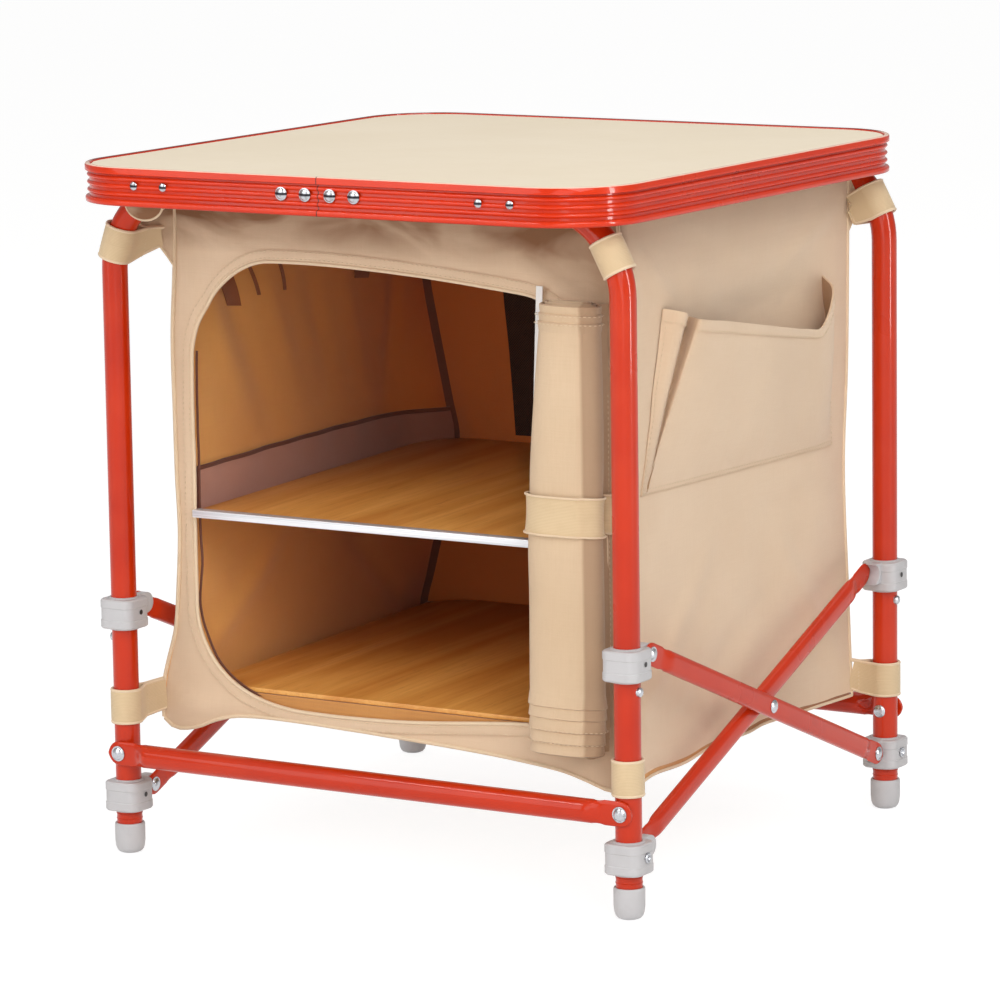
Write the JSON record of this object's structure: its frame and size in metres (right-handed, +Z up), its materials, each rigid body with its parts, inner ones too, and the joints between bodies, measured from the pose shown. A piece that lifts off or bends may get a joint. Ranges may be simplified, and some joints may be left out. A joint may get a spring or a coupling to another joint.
{
  "type": "camping cupboard",
  "caption": "Folding camping cupboard: bent tube legs with scissor braces, lift-off top in a ribbed rim, hanging fabric cabinet with a shelf, roll-up door and side pocket.",
  "frame": {"origin": "on the ground under the middle of the top", "axes": "+Z up, front with the door mouth towards -Y, side pocket towards +X"},
  "size_m": [0.5314, 0.551, 0.6],
  "materials": {
    "board_laminate": "satin cream laminate on both faces",
    "red_coat": "glossy red-orange powder coat",
    "grey_plastic": "moulded light grey nylon",
    "bright_steel": "bright zinc plated steel",
    "bag_fabric": "coated tan polyester canvas",
    "webbing": "tan woven webbing",
    "brown_lining": "brown lining band with dark binding",
    "shelf_wood": "honey brown wood grain laminate",
    "edge_trim": "pale grey channel trim"
  },
  "bodies": {
    "front_frame": {"front_leg_frame": "red_coat", "front_crossbar": "red_coat", "crossbar_rivet_front_left": "bright_steel", "crossbar_rivet_front_right": "bright_steel", "foot_cap_front_left": "grey_plastic", "foot_cap_front_right": "grey_plastic", "lower_collar_front_left": "grey_plastic", "lower_collar_front_right": "grey_plastic", "upper_strap_front_left": "webbing", "upper_strap_front_right": "webbing", "lower_strap_front_left": "webbing", "lower_strap_front_right": "webbing", "bag_front_panel": "bag_fabric", "bag_left_wall": "bag_fabric", "bag_right_wall": "bag_fabric", "bag_floor": "bag_fabric", "side_pocket": "bag_fabric", "door_roll": "bag_fabric", "door_tie": "webbing", "shelf_sling_left": "brown_lining", "shelf_sling_right": "brown_lining"},
    "right_inner_brace": {"right_inner_brace": "red_coat", "brace_rivet_right": "bright_steel"},
    "right_outer_brace": {"right_outer_brace": "red_coat"},
    "left_inner_brace": {"left_inner_brace": "red_coat", "brace_rivet_left": "bright_steel"},
    "left_outer_brace": {"left_outer_brace": "red_coat"},
    "back_frame": {"back_leg_frame": "red_coat", "back_crossbar": "red_coat", "crossbar_rivet_back_left": "bright_steel", "crossbar_rivet_back_right": "bright_steel", "foot_cap_back_left": "grey_plastic", "foot_cap_back_right": "grey_plastic", "lower_collar_back_left": "grey_plastic", "lower_collar_back_right": "grey_plastic", "upper_strap_back_left": "webbing", "upper_strap_back_right": "webbing", "lower_strap_back_left": "webbing", "lower_strap_back_right": "webbing", "bag_back_panel": "bag_fabric"},
    "upper_collar_front_left": {"upper_collar_front_left": "grey_plastic"},
    "upper_collar_front_right": {"upper_collar_front_right": "grey_plastic"},
    "upper_collar_back_left": {"upper_collar_back_left": "grey_plastic"},
    "upper_collar_back_right": {"upper_collar_back_right": "grey_plastic"},
    "top": {"table_board": "board_laminate", "table_rim": "red_coat", "rim_splice": "bright_steel", "tube_clip_front_left": "grey_plastic", "tube_clip_front_right": "grey_plastic", "tube_clip_back_left": "grey_plastic", "tube_clip_back_right": "grey_plastic"},
    "mid_shelf": {"mid_shelf": "shelf_wood", "mid_shelf_edge": "edge_trim"},
    "bottom_shelf": {"bottom_shelf": "shelf_wood"},
    "snap_button_front_left": {"snap_button_front_left": "bright_steel"},
    "snap_button_front_right": {"snap_button_front_right": "bright_steel"},
    "snap_button_back_left": {"snap_button_back_left": "bright_steel"},
    "snap_button_back_right": {"snap_button_back_right": "bright_steel"}
  },
  "joints": [
    {"name": "frame_fold", "type": "hinge", "parent": "front_frame", "child": "right_inner_brace", "pos_m": [0.2487, -0.183, 0.0546], "axis": [1, 0, 0], "range_deg": [0, 60], "deforming": ["bag_left_wall", "bag_right_wall", "bag_floor", "bag_front_panel", "side_pocket", "shelf_sling_left", "shelf_sling_right"]},
    {"name": "right_scissor", "type": "hinge", "parent": "right_inner_brace", "child": "right_outer_brace", "pos_m": [0.2487, 0.016, 0.1343], "axis": [1, 0, 0], "range_deg": [-120, 0]},
    {"name": "back_frame_pivot", "type": "hinge", "parent": "right_outer_brace", "child": "back_frame", "pos_m": [0.2487, 0.215, 0.0546], "axis": [1, 0, 0], "range_deg": [0, 60]},
    {"name": "front_right_collar_pivot", "type": "hinge", "parent": "right_outer_brace", "child": "upper_collar_front_right", "pos_m": [0.2487, -0.183, 0.214], "axis": [1, 0, 0], "range_deg": [0, 60]},
    {"name": "back_right_collar_pivot", "type": "hinge", "parent": "right_inner_brace", "child": "upper_collar_back_right", "pos_m": [0.2487, 0.215, 0.214], "axis": [1, 0, 0], "range_deg": [-60, 0]},
    {"name": "left_brace_pivot", "type": "hinge", "parent": "front_frame", "child": "left_inner_brace", "pos_m": [-0.2487, -0.183, 0.0546], "axis": [1, 0, 0], "range_deg": [0, 60]},
    {"name": "left_scissor", "type": "hinge", "parent": "left_inner_brace", "child": "left_outer_brace", "pos_m": [-0.2487, 0.016, 0.1343], "axis": [1, 0, 0], "range_deg": [-120, 0]},
    {"name": "front_left_collar_pivot", "type": "hinge", "parent": "left_outer_brace", "child": "upper_collar_front_left", "pos_m": [-0.2487, -0.183, 0.214], "axis": [1, 0, 0], "range_deg": [0, 60]},
    {"name": "back_left_collar_pivot", "type": "hinge", "parent": "left_inner_brace", "child": "upper_collar_back_left", "pos_m": [-0.2487, 0.215, 0.214], "axis": [1, 0, 0], "range_deg": [-60, 0]},
    {"name": "top_lift", "type": "slide", "parent": "front_frame", "child": "top", "axis": [0, 0, 1], "range_m": [0, 0.63]},
    {"name": "middle_board_slide", "type": "slide", "parent": "front_frame", "child": "mid_shelf", "axis": [0, -0.9996, -0.0279], "range_m": [0, 0.462], "deforming": ["door_roll"]},
    {"name": "bottom_board_slide", "type": "slide", "parent": "front_frame", "child": "bottom_shelf", "axis": [0, -0.9996, -0.0279], "range_m": [0, 0.462], "deforming": ["door_tie"]},
    {"name": "front_left_button_press", "type": "slide", "parent": "front_frame", "child": "snap_button_front_left", "axis": [1, 0, 0], "range_m": [0, 0.0035], "stiffness_N_per_m": 1200},
    {"name": "front_right_button_press", "type": "slide", "parent": "front_frame", "child": "snap_button_front_right", "axis": [-1, 0, 0], "range_m": [0, 0.0035], "stiffness_N_per_m": 1200},
    {"name": "back_left_button_press", "type": "slide", "parent": "back_frame", "child": "snap_button_back_left", "axis": [1, 0, 0], "range_m": [0, 0.0035], "stiffness_N_per_m": 1200},
    {"name": "back_right_button_press", "type": "slide", "parent": "back_frame", "child": "snap_button_back_right", "axis": [-1, 0, 0], "range_m": [0, 0.0035], "stiffness_N_per_m": 1200}
  ],
  "couplings": [
    {"joint": "right_scissor", "follows": "frame_fold", "ratio": -2},
    {"joint": "back_frame_pivot", "follows": "frame_fold", "ratio": 1},
    {"joint": "front_right_collar_pivot", "follows": "frame_fold", "ratio": 1},
    {"joint": "back_right_collar_pivot", "follows": "frame_fold", "ratio": -1},
    {"joint": "left_brace_pivot", "follows": "frame_fold", "ratio": 1},
    {"joint": "left_scissor", "follows": "frame_fold", "ratio": -2},
    {"joint": "front_left_collar_pivot", "follows": "frame_fold", "ratio": 1},
    {"joint": "back_left_collar_pivot", "follows": "frame_fold", "ratio": -1},
    {"joint": "top_lift", "follows": "frame_fold", "m_per_rad": 0.6},
    {"joint": "middle_board_slide", "follows": "frame_fold", "m_per_rad": 0.44},
    {"joint": "bottom_board_slide", "follows": "frame_fold", "m_per_rad": 0.44}
  ]
}
